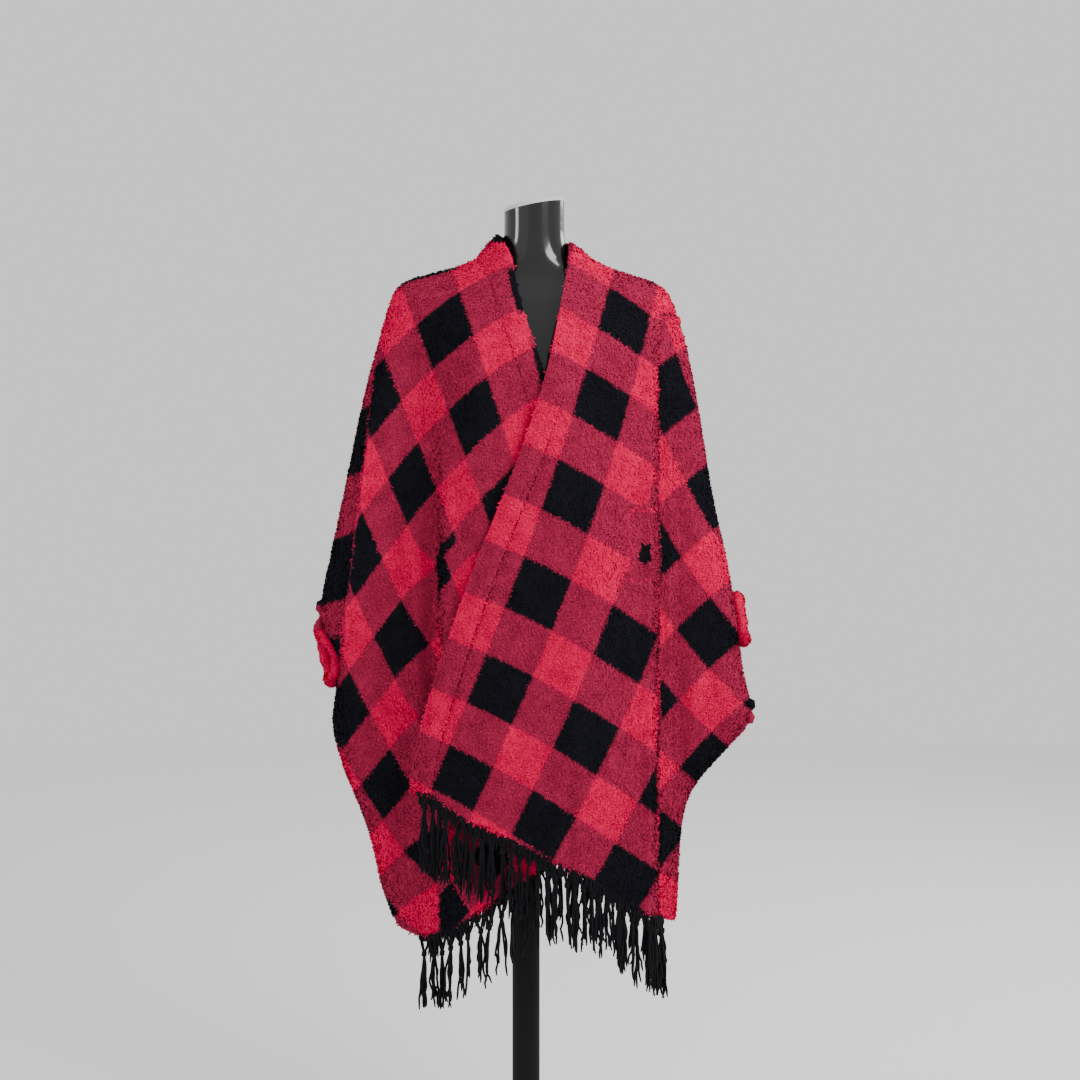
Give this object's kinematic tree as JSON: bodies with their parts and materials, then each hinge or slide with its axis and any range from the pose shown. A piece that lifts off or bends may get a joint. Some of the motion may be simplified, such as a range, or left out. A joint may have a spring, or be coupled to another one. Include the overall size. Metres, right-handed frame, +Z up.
{
  "type": "poncho on a dress form",
  "caption": "Open-front plush check poncho with crossed fronts, hand openings and knotted yarn fringe, on a headless torso form and pole stand.",
  "frame": {"origin": "on the floor, under the middle of the stand's pole", "axes": "+Z up; the front faces -Y; +X is to the right of someone facing the front"},
  "size_m": [0.6452, 0.4, 1.507],
  "materials": {
    "plush": "deep curly plush in a red and black check",
    "plush_band": "the same plush as a stitched band",
    "yarn": "matt black knotted yarn",
    "gloss_black": "polished black shell",
    "cap_grey": "plain pale grey",
    "satin_black": "satin black paint"
  },
  "bodies": {
    "root": {"back_panel": "plush", "front_left": "plush", "front_right": "plush", "band_left": "plush_band", "band_right": "plush_band", "band_neck": "plush_band", "cuff_left": "plush", "cuff_right": "plush", "fringe_back": "yarn", "fringe_left": "yarn", "fringe_right": "yarn", "form_torso": "gloss_black", "neck_cap": "cap_grey", "stand_pole": "satin_black", "stand_base": "satin_black"}
  },
  "joints": []
}
